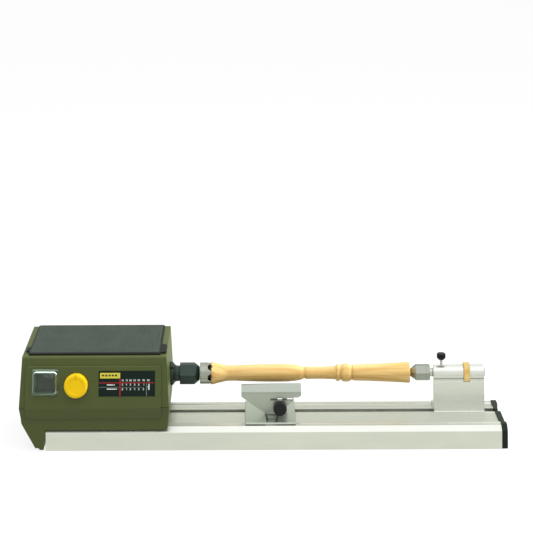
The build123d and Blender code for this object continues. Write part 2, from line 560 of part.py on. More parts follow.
# ---------------------------------------------------------------- spindle and collet
NOSE_R = 7.0
spindle = rev_x([
    (-203.0, 0), (-203.0, SPINDLE_R, 0.6), (-118.4, SPINDLE_R), (-118.4, 9.2), (-115.6, 9.2),
    (-113.9, 12.5, 0.5), (-111.0, 12.5, 0.5), (-108.7, 9.6, 1.4), (-107.2, 8.6, 0.8),
    (-103.4, 8.1, 0.3), (-103.4, NOSE_R), (-92.0, NOSE_R, 0.5), (-92.0, 0),
])
spindle -= rev_x([(-101.0, 0), (-101.0, 5.05), (-91.0, 5.05), (-91.0, 0)])
spindle -= cyl_x(-204, -100, 2.2)
for i in range(4):  # notches in the flange
    turn = Rot(48.0 + 90 * i, 0, 0)
    spindle -= Pos(0, 0, AXIS_Z) * turn * Pos(-112.0, 0, 12.2) * Box(6.4, 2.8, 4.0)
save("spindle_shaft", spindle)

collet_nut = prism_x(spindle_hexagon(21.1, -25.0), -103.2, -81.3) & rev_x([
    (-103.2, 0), (-103.2, 11.6), (-102.6, 12.25), (-87.6, 12.25), (-81.4, 7.2, 0.5),
    (-81.4, 0)])
collet_nut -= cyl_x(-104, -91.5, NOSE_R + RUN) + rev_x([
    (-91.6, 0), (-91.6, 6.6), (-84.5, 5.2), (-84.5, 4.6), (-81, 4.6), (-81, 0)])
save("collet_nut", collet_nut)

collet = rev_x([(-100.5, 4.0), (-100.5, 5.0), (-90.0, 5.0), (-86.0, 5.0), (-84.7, 4.7),
                (-84.7, 4.0)])
for angle in (0, 60, 120):
    collet -= Pos(0, 0, AXIS_Z) * Rot(angle, 0, 0) * Pos(-90.0, 0, 0) * Box(12.6, 12, 0.7)
save("collet", collet)

# ---------------------------------------------------------------- crown drive centre
CROWN_X0, CROWN_X1 = -80.9, -67.7
driver = rev_x([
    (-99.5, 0), (-99.5, 3.96), (CROWN_X0, 3.96), (CROWN_X0, 11.4, 0.5), (CROWN_X1, 11.4),
    (CROWN_X1, 9.2), (-72.6, 8.6), (-72.6, 2.0), (-69.6, 2.0), (-65.2, 0)])
for i in range(6):
    gap = prism_y([(-72.2, 2.6), (-72.2, -2.0), (-67.0, -5.3), (-67.0, 5.6)], 6.0, 14.0)
    driver -= Pos(0, 0, AXIS_Z) * Rot(60.0 * i + 7.5, 0, 0) * gap
save("drive_centre", driver)

# ---------------------------------------------------------------- workpiece between centres
wood_profile = [    # (x, radius[, corner radius])
    (-68.5, 0), (-68.5, 11.5), (-67.6, 11.9, 0.3), (-64.6, 11.5), (-61.9, 10.7), (-57.6, 9.7),
    (-54, 8.8), (-51, 8.2), (-44, 8.15), (-36, 8.4), (-26, 8.8), (-14, 9.2), (-4, 9.35),
    (8, 9.4), (17, 9.2), (24, 8.6), (30, 7.6), (33.2, 6.6), (34.9, 5.5), (36.6, 6.7),
    (44, 6.5), (56, 6.6), (66, 7.1), (69.6, 7.2), (70.2, 8.4, 0.4), (72.2, 9.1, 1.0),
    (74.6, 8.6, 0.5), (75.4, 7.6), (76.2, 8.6, 0.4), (79, 9.5, 1.5), (84.6, 9.5, 1.2),
    (87.2, 8.6), (87.9, 7.4), (88.6, 8.3), (96, 8.6), (110, 9.1), (124, 9.7), (138, 10.4),
    (149.6, 11.15, 0.5), (151.6, 10.9, 0.5), (151.6, 0),
]
wood = rev_x(wood_profile)
wood -= rev_x([(147.9, 0), (151.8, 3.3), (151.8, 0)])
wood -= driver
# loose chips cut free by the crown are left out
save("workpiece_spindle", wood.solids().sort_by(SortBy.VOLUME)[-1])

# ---------------------------------------------------------------- tool rest
REST_KNOB_X, REST_KNOB_Z = 7.0, 35.8
STUD_X, STUD_R = -2, 3.0     # upright clamp bolt

plate = prism_x([
    (-47.0, BED_SEAT), (-47.9, RAIL_SEAT), (-55.0, RAIL_SEAT), (-55.3, RAIL_TOP + 0.4),
    (-55.3, RAIL_TOP + 2.0, 0.5), (18.6, RAIL_TOP + 2.0, 0.8), (19.0, BED_SEAT)], -31.0, 24.0)
plate = fillet(plate.edges().filter_by(Axis.Z), 1.0)
plate -= prism_z([(-8.5, -53.7, 0.6), (4.4, -53.7, 0.6), (4.4, 16.4, 0.8),
                  (-8.5, 16.4, 0.8)], 15, 35)
save("rest_base_plate", plate)
save("rest_t_nut",
     box(STUD_X - 12, STUD_X + 12, -8.8, 8.8, SLOT_Z0 + 0.2, SLOT_Z1 - 0.1)
     + box(STUD_X - 12, STUD_X + 12, -4.85, 4.85, SLOT_Z1 - 0.2, BED_TOP - 0.1)
     - cyl_z(5, 30, STUD_R + 0.05, STUD_X, 0))

# cross slide: foot, front tongue, upright and rib, slotted for stud and knob
slide = box(STUD_X - 6.25, STUD_X + 6.25, -27.0, 12.0, BED_TOP + 0.2, RAIL_TOP + 4.4)
slide += box(-6.6, 2.3, -39.0, -26.5, BED_TOP + 0.25, RAIL_TOP + 2.5)
slide += prism_y([(-9.5, RAIL_TOP + 2.1), (15.0, RAIL_TOP + 2.1, 0.5), (15.0, 49.5, 3.0),
                  (-9.5, 49.5, 3.0)], -27.0, -22.5)
slide += prism_x([(-23, RAIL_TOP + 4.3), (-23, 38.0), (-21.0, 38.0), (-12.0, RAIL_TOP + 4.3)],
                 -4.0, 0.0)
slide -= box(STUD_X - 3.2, STUD_X + 3.2, -8.0, 13.0, 15, 40)
slide -= prism_y([
    (REST_KNOB_X - 2.55, REST_KNOB_Z - 3.3, 2.5), (REST_KNOB_X + 2.55, REST_KNOB_Z - 3.3, 2.5),
    (REST_KNOB_X + 2.55, REST_KNOB_Z + 11.2, 2.5), (REST_KNOB_X - 2.55, REST_KNOB_Z + 11.2, 2.5),
], -28, -22)
save("rest_cross_slide", slide)

bolt = prism_z(hexagon(10.0, 30, centre=(STUD_X, 0)), RAIL_TOP + 5.95, RAIL_TOP + 10.0)
bolt += cyl_z(SLOT_Z0 + 0.6, RAIL_TOP + 6.0, STUD_R, STUD_X, 0)
save("rest_clamp_bolt", bolt)
save("rest_clamp_washer", cyl_z(RAIL_TOP + 4.45, RAIL_TOP + 5.9, 6.0, STUD_X, 0)
     - cyl_z(20, 40, STUD_R + 0.05, STUD_X, 0))

web = prism_y([
    (-35.1, 51.6), (-35.1, 46.9, 0.6), (-7.6, 27.5, 0.4), (4.5, 27.5, 0.4), (14.6, 36.2, 1.0),
    (22.1, 42.3, 0.6), (22.1, 45.8, 0.3), (27.5, 45.8, 3.0), (30.4, 48.2, 1.2), (30.4, 51.6),
], -31.4, -27.2)
web -= prism_y([(-3.3, 42.6, 0.6), (21.1, 42.6, 0.6), (21.1, 45.1, 0.6), (-3.3, 45.1, 0.6)],
               -33, -25)
web -= cyl_y(-33, -25, 2.55, REST_KNOB_X, REST_KNOB_Z)
blade = prism_x([(-31.6, 50.6, 0.4), (-31.6, 52.3, 0.5), (-20.6, 58.2, 0.6),
                 (-19.6, 57.4, 0.6), (-26.0, 50.6, 1.2)], -35.1, 30.4)
blade &= prism_y([(-36, 45), (31, 45), (31, 58.4), (-36, 57.1)], -40, 0)
save("tool_rest_blade", blade + web)

rest_knob = prism_y(knurl(32, 7.3, 0.45, (REST_KNOB_X, REST_KNOB_Z)), -40.6, -36.9) & rev_y(
    [(-41.0, 0), (-41.0, 6.1, 0.8), (-39.8, 7.35, 0.4), (-36.8, 7.35), (-36.8, 0)],
    REST_KNOB_X, REST_KNOB_Z)
rest_knob += rev_y([(-37.0, 0), (-37.0, 5.6), (-33.4, 4.4), (-31.45, 4.4), (-31.45, 0)],
                   REST_KNOB_X, REST_KNOB_Z) + cyl_y(-32.0, -18.0, 2.45, REST_KNOB_X, REST_KNOB_Z)
rest_knob -= rev_y([(-41.2, 0), (-41.2, 4.2), (-40.4, 3.6), (-40.4, 0)],
                   REST_KNOB_X, REST_KNOB_Z)
save("rest_clamp_knob", rest_knob)
save("rest_clamp_nut", box_about(REST_KNOB_X, 4.2, -22.4, -18.8, REST_KNOB_Z, 4.2)
     - cyl_y(-25, -15, 2.5, REST_KNOB_X, REST_KNOB_Z))

# ---------------------------------------------------------------- tailstock
TAIL_X0, TAIL_X1 = 178.3, 233.9
QUILL_R = 4.6
NUT_X0, NUT_X1, NUT_R = 211.2, 217.9, 10.7
TAIL_SCREW_X = (190.0, 222.0)
LOCK_X, LOCK_R = 187.0, 1.45

tail = prism_x([
    (-7.8, BED_SEAT), (-7.8, BED_TOP + 0.6), (-7.2, BED_TOP + 1.2), (-7.2, AXIS_Z - 6.0),
    (7.2, AXIS_Z - 6.0), (7.2, RAIL_TOP + 0.4, 2.0), (24.0, RAIL_TOP + 0.2, 0.6),
    (24.4, BED_SEAT)], TAIL_X0, TAIL_X1) + cyl_x(TAIL_X0, TAIL_X1, 8.0)
tail -= prism_x([(-7.21, AXIS_Z - 7.4), (-6.6, AXIS_Z - 7.9), (-7.21, AXIS_Z - 8.5),
                 (-9, AXIS_Z - 8)], TAIL_X0 - 1, TAIL_X1 + 1)
tail += box(TAIL_X0, TAIL_X1, -4.85, 4.85, BED_TOP - 2.4, BED_TOP + 1)
tail -= cyl_x(TAIL_X0 - 1, TAIL_X1 + 1, QUILL_R + RUN)
tail -= cyl_x(NUT_X0 - 0.1, NUT_X1 + 0.1, NUT_R + 0.4)
for x in TAIL_SCREW_X:
    tail -= box(x - 6.5, x + 6.5, -4.9, 10, RAIL_TOP + 2.6, 41.0)
    tail -= cyl_z(15, 30, 2.6, x, 0)
tail -= cyl_z(AXIS_Z + 3, AXIS_Z + 9, LOCK_R + RUN, LOCK_X, 0)
save("tailstock_body", tail)
save("tailstock_clamp_screws", *[
    prism_z(hexagon(8.0, 30, centre=(x, 0)), RAIL_TOP + 2.65, RAIL_TOP + 6.3)
    + cyl_z(SLOT_Z0 + 0.4, RAIL_TOP + 2.7, 2.45, x, 0) for x in TAIL_SCREW_X])

tail_nut = box(183.0, 229.0, -8.7, 8.7, SLOT_Z0 + 0.2, SLOT_Z1 - 0.1)
for x in TAIL_SCREW_X:
    tail_nut -= cyl_z(5, 30, 2.5, x, 0)
save("tailstock_t_nut", tail_nut)

quill = rev_x([(176.6, 0), (176.6, 4.2), (177.2, QUILL_R), (234.6, QUILL_R), (235.4, 3.8),
               (235.4, 0)])
quill -= cyl_x(176, 196, 2.5)
quill -= cyl_x(232.6, 236, 2.0)
quill -= box(180.0, 206.0, -4, 4, AXIS_Z + 4.1, AXIS_Z + 6)
save("tailstock_quill", quill)

quill_nut = prism_x(knurl(48, NUT_R, 0.4, (0, AXIS_Z)), NUT_X0, NUT_X1) & rev_x([
    (NUT_X0, 0), (NUT_X0, NUT_R - 0.6), (NUT_X0 + 0.6, NUT_R + 0.1),
    (NUT_X1 - 0.6, NUT_R + 0.1), (NUT_X1, NUT_R - 0.6), (NUT_X1, 0)])
quill_nut -= cyl_x(NUT_X0 - 1, NUT_X1 + 1, QUILL_R + RUN)
save("quill_adjusting_nut", quill_nut)

lock_knob = prism_z(knurl(28, 4.9, 0.4, (LOCK_X, 0)), 77.0, 84.2) & rev_z([
    (77.0, 0), (77.0, 2.9, 0.3), (79.2, 4.9, 0.8), (83.2, 4.9, 0.8), (84.1, 4.2, 0.3),
    (84.1, 0)], LOCK_X, 0)
lock_knob -= cyl_z(76.0, 82.0, LOCK_R, LOCK_X, 0)
save("quill_lock_knob", lock_knob)
save("quill_lock_screw", cyl_z(67.15, 81.95, LOCK_R - 0.01, LOCK_X, 0)
     - box(LOCK_X - 1.6, LOCK_X + 1.6, -1.6, -1.3, 76.0, 83.0))

# ---------------------------------------------------------------- live centre
save("live_centre_arbor", rev_x([
    (162.6, 0), (162.6, 2.95), (171.6, 2.95), (171.6, 4.5, 0.2), (176.5, 4.5, 0.2),
    (176.5, 2.45), (194.0, 2.45, 0.4), (194.0, 0)]))
save("live_centre_bearing", bearing(164.0, 170.9, 3.0, 6.3))

POINT_AF = 16.0                       # across flats
TAPER_X1, TAPER_X0 = 158.6, 151.9     # the hexagon tapers towards -X between these
TAPER_RUN = TAPER_X1 - TAPER_X0
point_hexagon = spindle_hexagon(POINT_AF, -20.5)
point = prism_x(point_hexagon, TAPER_X1, 173.9) & rev_x([
    (TAPER_X1 - 1, 0), (TAPER_X1 - 1, 10.0), (172.4, 10.0), (174.0, 8.0), (174.0, 0)])
point += extrude(face_of(point_hexagon, lambda y, z: Vector(TAPER_X1, y, z)),
                 amount=TAPER_RUN, dir=(-1, 0, 0),
                 taper=math.degrees(math.atan((POINT_AF / 2 - 3.3) / TAPER_RUN)))
point += rev_x([(148.4, 0), (152.0, 3.3), (152.0, 0)])
point -= rev_x([(161.6, 0), (162.2, 6.35), (171.2, 6.35), (171.2, 4.9), (175.0, 4.9),
                (175.0, 0)])
save("live_centre_point", point)

# ---------------------------------------------------------------- power cord
CORD_R = 3.0
relief = cyl_y(53.0, 60.0, 5.0, CORD_X, CORD_Z) + cyl_y(51.4, 53.95, 6.4, CORD_X, CORD_Z)
relief += rev_y([(58.1, 0), (58.1, 6.4, 0.8), (60.0, 6.4, 0.8), (70.0, 4.4, 0.6), (70.0, 0)],
                CORD_X, CORD_Z)
for i in range(4):
    y = 61.2 + 2.1 * i
    relief -= rev_y([(y, 3.9), (y, 8.0), (y + 1.0, 8.0), (y + 1.0, 3.9)], CORD_X, CORD_Z)
save("cord_strain_relief", relief - cyl_y(45, 75, CORD_R + 0.05, CORD_X, CORD_Z))
save("power_cord", cyl_y(42.0, 86.0, CORD_R, CORD_X, CORD_Z))
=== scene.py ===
import bpy, bmesh, json, math
import numpy as np
from mathutils import Vector, Matrix

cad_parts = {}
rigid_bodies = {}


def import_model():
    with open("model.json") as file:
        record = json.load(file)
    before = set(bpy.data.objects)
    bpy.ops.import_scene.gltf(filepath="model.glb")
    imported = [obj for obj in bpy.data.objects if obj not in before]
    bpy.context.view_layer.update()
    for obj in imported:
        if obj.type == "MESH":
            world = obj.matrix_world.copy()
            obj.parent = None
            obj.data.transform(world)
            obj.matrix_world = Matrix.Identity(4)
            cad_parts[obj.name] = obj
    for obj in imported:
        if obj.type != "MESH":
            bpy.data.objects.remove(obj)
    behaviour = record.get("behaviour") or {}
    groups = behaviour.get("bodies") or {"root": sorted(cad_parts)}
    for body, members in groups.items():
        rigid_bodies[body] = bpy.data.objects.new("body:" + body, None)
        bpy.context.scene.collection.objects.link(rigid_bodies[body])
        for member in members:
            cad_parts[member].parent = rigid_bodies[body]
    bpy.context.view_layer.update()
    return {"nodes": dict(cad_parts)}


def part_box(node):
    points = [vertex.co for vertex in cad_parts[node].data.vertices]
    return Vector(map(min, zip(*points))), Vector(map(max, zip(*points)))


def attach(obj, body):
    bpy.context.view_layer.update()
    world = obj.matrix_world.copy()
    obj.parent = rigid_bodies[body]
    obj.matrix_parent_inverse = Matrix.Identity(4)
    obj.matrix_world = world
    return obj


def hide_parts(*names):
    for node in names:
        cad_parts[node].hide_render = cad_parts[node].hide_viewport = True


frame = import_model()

scene = bpy.context.scene
for o in list(scene.objects):
    if o.type in ("LIGHT", "CAMERA") or o.name == "Cube":
        bpy.data.objects.remove(o)
NODES = frame["nodes"]
AX = 0.063          # spindle axis height


# ------------------------------------------------------------------ material kit
class Mat:
    """A node material built from small procedural layers."""

    def __init__(self, name, base, rough=0.5, metal=0.0, spec=0.5):
        self.m = bpy.data.materials.new(name)
        self.m.use_nodes = True
        self.t = self.m.node_tree
        self.b = self.t.nodes["Principled BSDF"]
        self.b.inputs["Metallic"].default_value = metal
        self.b.inputs["Specular IOR Level"].default_value = spec
        tc = self.n("ShaderNodeTexCoord")
        self.obj = tc.outputs["Object"]
        rgb = self.n("ShaderNodeRGB")
        rgb.outputs[0].default_value = (*base, 1)
        self.col = rgb.outputs[0]
        v = self.n("ShaderNodeValue")
        v.outputs[0].default_value = rough
        self.rgh = v.outputs[0]
        self.nrm = None

    def n(self, kind, **kw):
        node = self.t.nodes.new(kind)
        for k, v in kw.items():
            setattr(node, k, v)
        return node

    def link(self, a, b):
        self.t.links.new(a, b)

    def val(self, x):
        v = self.n("ShaderNodeValue")
        v.outputs[0].default_value = x
        return v.outputs[0]

    def math(self, op, a, b=None, clamp=False):
        m = self.n("ShaderNodeMath", operation=op, use_clamp=clamp)
        for i, x in enumerate((a, b)):
            if x is None:
                continue
            if isinstance(x, (int, float)):
                m.inputs[i].default_value = x
            else:
                self.link(x, m.inputs[i])
        return m.outputs[0]

    def noise(self, scale=(1, 1, 1), detail=3.0, rough=0.55, dist=0.0, offset=(0, 0, 0)):
        mp = self.n("ShaderNodeMapping")
        mp.inputs["Scale"].default_value = scale
        mp.inputs["Location"].default_value = offset
        self.link(self.obj, mp.inputs["Vector"])
        nz = self.n("ShaderNodeTexNoise")
        nz.inputs["Scale"].default_value = 1.0
        nz.inputs["Detail"].default_value = detail
        nz.inputs["Roughness"].default_value = rough
        nz.inputs["Distortion"].default_value = dist
        self.link(mp.outputs[0], nz.inputs["Vector"])
        return nz.outputs["Fac"]

    def voronoi(self, scale, feature="F1", rand=1.0):
        mp = self.n("ShaderNodeMapping")
        mp.inputs["Scale"].default_value = scale
        self.link(self.obj, mp.inputs["Vector"])
        vz = self.n("ShaderNodeTexVoronoi", feature=feature)
        vz.inputs["Scale"].default_value = 1.0
        vz.inputs["Randomness"].default_value = rand
        self.link(mp.outputs[0], vz.inputs["Vector"])
        return vz.outputs["Distance"]

    def ramp(self, fac, stops):
        r = self.n("ShaderNodeValToRGB")
        el = r.color_ramp.elements
        el[0].position, el[0].color = stops[0][0], (*stops[0][1], 1)
        el[1].position, el[1].color = stops[-1][0], (*stops[-1][1], 1)
        for p, c in stops[1:-1]:
            e = el.new(p)
            e.color = (*c, 1)
        self.link(fac, r.inputs[0])
        return r.outputs[0]

    def range(self, fac, a, b, lo=0.0, hi=1.0):
        r = self.n("ShaderNodeMapRange")
        r.inputs[1].default_value = a
        r.inputs[2].default_value = b
        r.inputs[3].default_value = lo
        r.inputs[4].default_value = hi
        self.link(fac, r.inputs[0])
        return r.outputs[0]

    def mix(self, fac, a, b, mode="MIX"):
        m = self.n("ShaderNodeMix", data_type="RGBA", blend_type=mode)
        if isinstance(fac, (int, float)):
            m.inputs[0].default_value = fac
        else:
            self.link(fac, m.inputs[0])
        for i, x in ((6, a), (7, b)):
            if isinstance(x, tuple):
                m.inputs[i].default_value = (*x[:3], 1)
            else:
                self.link(x, m.inputs[i])
        return m.outputs[2]

    def vary(self, amount, scale, detail=3.0, offset=(0, 0, 0)):
        """Lightens and darkens the colour by a noise of the given scale."""
        f = self.range(self.noise(scale, detail, offset=offset), 0.25, 0.75, 1.0 - amount, 1.0 + amount)
        c = self.n("ShaderNodeVectorMath", operation="SCALE")
        self.link(self.col, c.inputs[0])
        self.link(f, c.inputs["Scale"])
        self.col = c.outputs[0]
        return self

    def rvary(self, amount, scale, detail=3.0, offset=(5, 5, 5)):
        f = self.range(self.noise(scale, detail, offset=offset), 0.25, 0.75, -amount, amount)
        self.rgh = self.math("ADD", self.rgh, f, clamp=True)
        return self

    def bevel(self, radius):
        b = self.n("ShaderNodeBevel")
        b.samples = 4
        b.inputs["Radius"].default_value = radius
        self.nrm = b.outputs["Normal"]
        self.bev = b.outputs["Normal"]
        return self

    def bump(self, height, strength, distance=0.0002):
        b = self.n("ShaderNodeBump")
        b.inputs["Strength"].default_value = strength
        b.inputs["Distance"].default_value = distance
        self.link(height, b.inputs["Height"])
        if self.nrm is not None:
            self.link(self.nrm, b.inputs["Normal"])
        self.nrm = b.outputs[0]
        return self

    def edge_wear_and_highlight(self, colour, amount=0.5, noise_scale=300, lo=0.75, hi=0.98, rough=None):
        """Lighter edges where the rounded normal turns away from the flat one: rubbed wear on most materials, painted
        edge highlight on the olive moulding.
        """
        g = self.n("ShaderNodeNewGeometry")
        d = self.n("ShaderNodeVectorMath", operation="DOT_PRODUCT")
        self.link(self.bev, d.inputs[0])
        self.link(g.outputs["Normal"], d.inputs[1])
        m = self.range(d.outputs["Value"], lo, hi, 1.0, 0.0)
        nz = self.range(self.noise((noise_scale,) * 3, 4.0), 0.35, 0.65, 0.2, 1.0)
        k = self.math("MULTIPLY", self.math("MULTIPLY", m, nz), amount, clamp=True)
        self.col = self.mix(k, self.col, colour)
        if rough is not None:
            mm = self.n("ShaderNodeMix", data_type="FLOAT")
            self.link(k, mm.inputs[0])
            self.link(self.rgh, mm.inputs[2])
            mm.inputs[3].default_value = rough
            self.rgh = mm.outputs[0]
        return self

    def done(self):
        self.link(self.col, self.b.inputs["Base Color"])
        self.link(self.rgh, self.b.inputs["Roughness"])
        if self.nrm is not None:
            self.link(self.nrm, self.b.inputs["Normal"])
        return self.m


def lin(h):
    out = []
    for i in (0, 2, 4):
        c = int(h[i:i + 2], 16) / 255
        out.append(c / 12.92 if c <= 0.04045 else ((c + 0.055) / 1.055) ** 2.4)
    return tuple(out)


# ------------------------------------------------------------------ materials
def olive(name, base):
    m = Mat(name, base, 0.46, 0.0, 0.45).bevel(0.0007)
    m.vary(0.05, (25, 25, 25), 3).vary(0.035, (700, 700, 700), 2)
    # painted edge highlight: the rounded edges are lightened towards a pale olive (8c9a58)
    m.edge_wear_and_highlight(lin("8c9a58"), 0.45, 500, 0.72, 0.985, 0.38)
    m.rvary(0.05, (60, 60, 60))
    m.bump(m.noise((1700, 1700, 1700), 2.5, 0.6), 0.16, 0.00012)
    m.bump(m.noise((18, 18, 18), 1.0), 0.06, 0.0006)
    return m.done()


def anodised(name, base, rough, streak=(14, 2600, 2600)):
    m = Mat(name, base, rough, 0.92, 0.5).bevel(0.0004)
    m.vary(0.035, streak, 3).vary(0.03, (22, 60, 60), 2)
    m.edge_wear_and_highlight((0.92, 0.93, 0.91), 0.35, 250, 0.7, 0.98)
    m.rvary(0.05, streak, 4)
    m.bump(m.noise(streak, 4.0, 0.7), 0.05, 0.00006)
    m.bump(m.noise((2200, 2200, 2200), 2.0), 0.05, 0.00005)
    return m.done()


def turned_metal(name, base, rough, metal=1.0, ring=3500, bevel=0.00025, var=0.04):
    """Lathe-turned metal about the spindle axis: fine rings along X."""
    m = Mat(name, base, rough, metal, 0.5).bevel(bevel)
    m.vary(var, (ring, 20, 20), 3)
    m.rvary(0.06, (ring, 30, 30), 3)
    m.bump(m.noise((ring, 12, 12), 3.0, 0.6), 0.10, 0.00004)
    m.bump(m.noise((900, 900, 900), 2.0), 0.03, 0.00005)
    return m


def steel(name, base, rough, metal=1.0):
    m = Mat(name, base, rough, metal, 0.5).bevel(0.0002)
    m.vary(0.05, (300, 300, 300), 4).rvary(0.08, (240, 240, 240), 3)
    m.edge_wear_and_highlight((0.9, 0.9, 0.88), 0.3, 600)
    m.bump(m.noise((2400, 2400, 2400), 3.0), 0.08, 0.00004)
    return m.done()


def plastic(name, base, rough, grain=2200, strength=0.12, edge=None, spec=0.5):
    m = Mat(name, base, rough, 0.0, spec).bevel(0.00035)
    m.vary(0.07, (90, 90, 90), 3)
    if edge:
        m.edge_wear_and_highlight(edge, 0.5, 500, 0.72, 0.98)
    m.rvary(0.06, (150, 150, 150), 3)
    m.bump(m.noise((grain, grain, grain), 3.0, 0.6), strength, 0.00008)
    return m.done()


M = {}
M["olive"] = olive("olive_moulding", (0.057, 0.075, 0.0125))
M["bed"] = anodised("anodised_bed", (0.70, 0.715, 0.665), 0.33)
M["tail"] = anodised("anodised_tailstock", (0.72, 0.735, 0.70), 0.30)
M["rest"] = anodised("satin_rest", (0.42, 0.45, 0.405), 0.36, (1600, 60, 60))
M["plate"] = anodised("satin_plate", (0.55, 0.60, 0.545), 0.36, (60, 1600, 60))
M["cast"] = steel("cast_aluminium", (0.5, 0.51, 0.5), 0.5)
M["zinc"] = steel("zinc_steel", (0.55, 0.56, 0.55), 0.34)
M["bearing"] = turned_metal("bearing_steel", (0.62, 0.63, 0.63), 0.22).done()
M["polished"] = turned_metal("polished_steel", (0.60, 0.61, 0.585), 0.19).done()
ct = turned_metal("ground_centre_steel", (0.35, 0.37, 0.325), 0.36, 1.0, 1500, 0.00035, 0.10)
ct.edge_wear_and_highlight((0.85, 0.86, 0.83), 0.6, 400, 0.7, 0.985)
M["centre"] = ct.done()
dv = turned_metal("driver_steel", (0.34, 0.36, 0.31), 0.20, 1.0, 1700, 0.0002, 0.10)
M["driver"] = dv.done()
bo = turned_metal("black_oxide", (0.028, 0.046, 0.038), 0.33, 0.55, 2600)
bo.edge_wear_and_highlight((0.16, 0.22, 0.19), 0.55, 500, 0.75, 0.985, 0.25)
M["oxide"] = bo.done()
br = turned_metal("brass_nut", (0.80, 0.58, 0.24), 0.27, 1.0, 1600, 0.0002)
br.vary(0.10, (260, 260, 260), 3)
M["brass"] = br.done()
M["black"] = plastic("black_plastic", (0.007, 0.0095, 0.009), 0.42, edge=(0.04, 0.05, 0.046), spec=0.25)
M["cap"] = plastic("end_cap_plastic", (0.0055, 0.011, 0.008), 0.45, edge=(0.035, 0.047, 0.04), spec=0.2)
M["rubber"] = plastic("cord_rubber", (0.014, 0.014, 0.014), 0.6, 1600, 0.2)
M["belt"] = plastic("belt_rubber", (0.02, 0.02, 0.02), 0.65, 1500, 0.3)
M["motor"] = steel("motor_can", (0.12, 0.12, 0.125), 0.4, 0.8)
M["board"] = plastic("circuit_board", (0.02, 0.10, 0.045), 0.4, 900, 0.2)
kn = Mat("yellow_knob", (0.88, 0.565, 0.0015), 0.42, 0.0, 0.22).bevel(0.0006)
kn.vary(0.05, (160, 160, 160), 3).vary(0.03, (1400, 1400, 1400), 2)
kn.edge_wear_and_highlight((0.93, 0.66, 0.02), 0.4, 400, 0.7, 0.98)
kn.rvary(0.06, (200, 200, 200))
kn.bump(kn.noise((1500, 1500, 1500), 3.0), 0.10, 0.00008)
M["knob"] = kn.done()

# tray mat: dusty grey-green rubber, with painted shade (near black) on the low surface between the pimples
mt = Mat("tray_mat_rubber", (0.112, 0.146, 0.120), 0.66, 0.0, 0.3)
mt.vary(0.16, (55, 55, 55), 4).vary(0.12, (600, 600, 600), 3)
geo = mt.n("ShaderNodeNewGeometry")
sep = mt.n("ShaderNodeSeparateXYZ")
mt.link(geo.outputs["Position"], sep.inputs[0])
sepo = mt.n("ShaderNodeSeparateXYZ")
mt.link(mt.obj, sepo.inputs[0])
# painted shade: below the pimples' base height the mat's colour goes near black
hz = mt.range(sepo.outputs["Z"], 0.10202, 0.10236, 0.0, 1.0)
mt.col = mt.mix(hz, (0.0045, 0.0065, 0.006), mt.col)
mt.bump(mt.noise((1500, 1500, 1500), 3.0), 0.25, 0.0001)
M["mat"] = mt.done()

# workpiece: pale hardwood, grain along X, darker rings, burnished tool marks
wd = Mat("turned_beech", lin("e2bb78"), 0.42, 0.0, 0.4).bevel(0.0002)
g1 = wd.noise((9, 260, 260), 5.0, 0.62, 0.6)
g2 = wd.noise((34, 1500, 1500), 4.0, 0.6, 0.0, (3, 1, 2))
g3 = wd.noise((3.2, 70, 70), 2.0, 0.5, 1.2, (7, 2, 9))
rings = wd.n("ShaderNodeTexWave", wave_type="BANDS", bands_direction="Y", wave_profile="SIN")
mp = wd.n("ShaderNodeMapping")
mp.inputs["Scale"].default_value = (5.0, 130, 40)
mp.inputs["Rotation"].default_value = (0.5, 0.0, 0.05)
wd.link(wd.obj, mp.inputs["Vector"])
wd.link(mp.outputs[0], rings.inputs["Vector"])
rings.inputs["Scale"].default_value = 0.55
rings.inputs["Distortion"].default_value = 3.5
rings.inputs["Detail"].default_value = 3.0
rings.inputs["Detail Scale"].default_value = 1.4
base_w = wd.ramp(g1, [(0.28, lin("c79b56")), (0.5, lin("dbb670")), (0.72, lin("e8ca88"))])
wd.col = wd.mix(wd.range(rings.outputs["Fac"], 0.55, 1.0, 0.0, 0.42), base_w, lin("bc8c48"))
wd.col = wd.mix(wd.range(g3, 0.45, 0.75, 0.0, 0.45), wd.col, lin("ead09a"))
pores = wd.range(g2, 0.60, 0.70, 0.0, 0.38)
wd.col = wd.mix(pores, wd.col, lin("9a6a30"))
# painted shade: the wood turns near black from X = -68.4 mm out to its end, which sits inside the driver cup
sx = wd.n("ShaderNodeSeparateXYZ")
wd.link(wd.obj, sx.inputs[0])
wd.col = wd.mix(wd.range(sx.outputs["X"], -0.0684, -0.0688, 0.0, 1.0), wd.col, (0.008, 0.009, 0.007))
wd.rvary(0.08, (40, 300, 300))
wd.bump(g2, 0.18, 0.00010)
wd.bump(wd.noise((1500, 8, 8), 2.0), 0.10, 0.00008)
M["wood"] = wd.done()

# label plate: satin black with a fine print grain
lb = Mat("label_black", (0.0035, 0.0115, 0.0085), 0.40, 0.0, 0.16).bevel(0.0002)
lb.vary(0.15, (500, 500, 500), 3).rvary(0.05, (300, 300, 300)).bump(lb.noise((3000, 3000, 3000), 2.0), 0.06, 0.00004)
M["label"] = lb.done()


def ink(name, base, rough=0.45):
    m = Mat(name, base, rough, 0.0, 0.3)
    m.vary(0.08, (900, 900, 900), 3).rvary(0.06, (700, 700, 700))
    m.bump(m.noise((2600, 2600, 2600), 2.0), 0.05, 0.00003)
    return m.done()


M["ink_white"] = ink("ink_white", (0.80, 0.84, 0.80))
M["ink_grey"] = ink("ink_grey", (0.16, 0.19, 0.18))
M["ink_red"] = ink("ink_red", (0.42, 0.012, 0.02))
M["ink_yellow"] = ink("ink_yellow", (0.66, 0.58, 0.06))
M["ink_dark"] = ink("ink_dark", (0.03, 0.035, 0.02))

